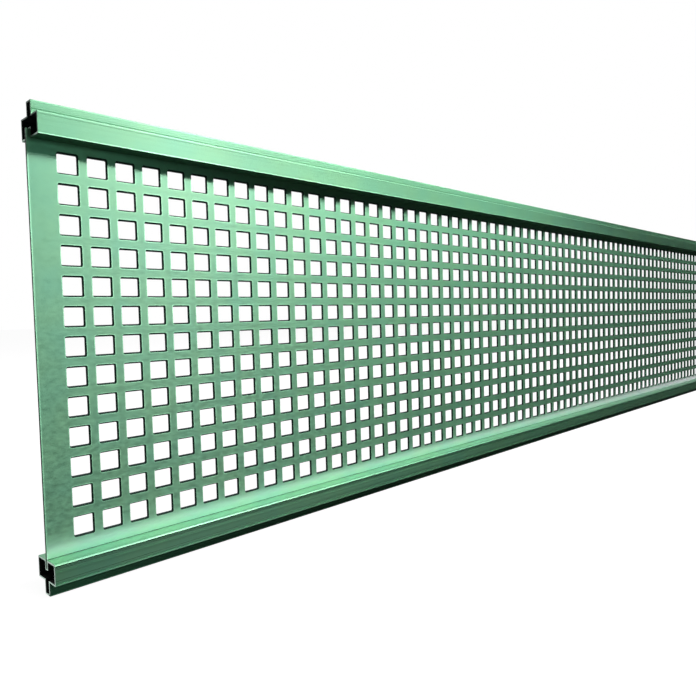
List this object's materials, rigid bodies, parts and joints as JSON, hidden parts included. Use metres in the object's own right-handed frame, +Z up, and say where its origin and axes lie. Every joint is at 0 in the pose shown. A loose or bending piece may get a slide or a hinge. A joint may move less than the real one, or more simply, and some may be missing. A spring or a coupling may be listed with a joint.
{
  "type": "perforated metal privacy screen panel",
  "caption": "Flat metal sheet with rows of square holes, held between two hollow slotted rails, each with a tongue for the board above or below.",
  "frame": {"origin": "under the middle of the bottom tongue, at mid-length and mid-thickness", "axes": "+X along the panel, +Y through it towards the back, +Z up"},
  "size_m": [1.778, 0.0206, 0.2376],
  "materials": {
    "rail": "green anodised, satin",
    "sheet": "green anodised, fine brushed"
  },
  "bodies": {
    "root": {"bottom_rail": "rail", "sheet_left": "sheet", "sheet_centre_left": "sheet", "sheet_centre_right": "sheet", "sheet_right": "sheet", "top_rail": "rail"}
  },
  "joints": []
}
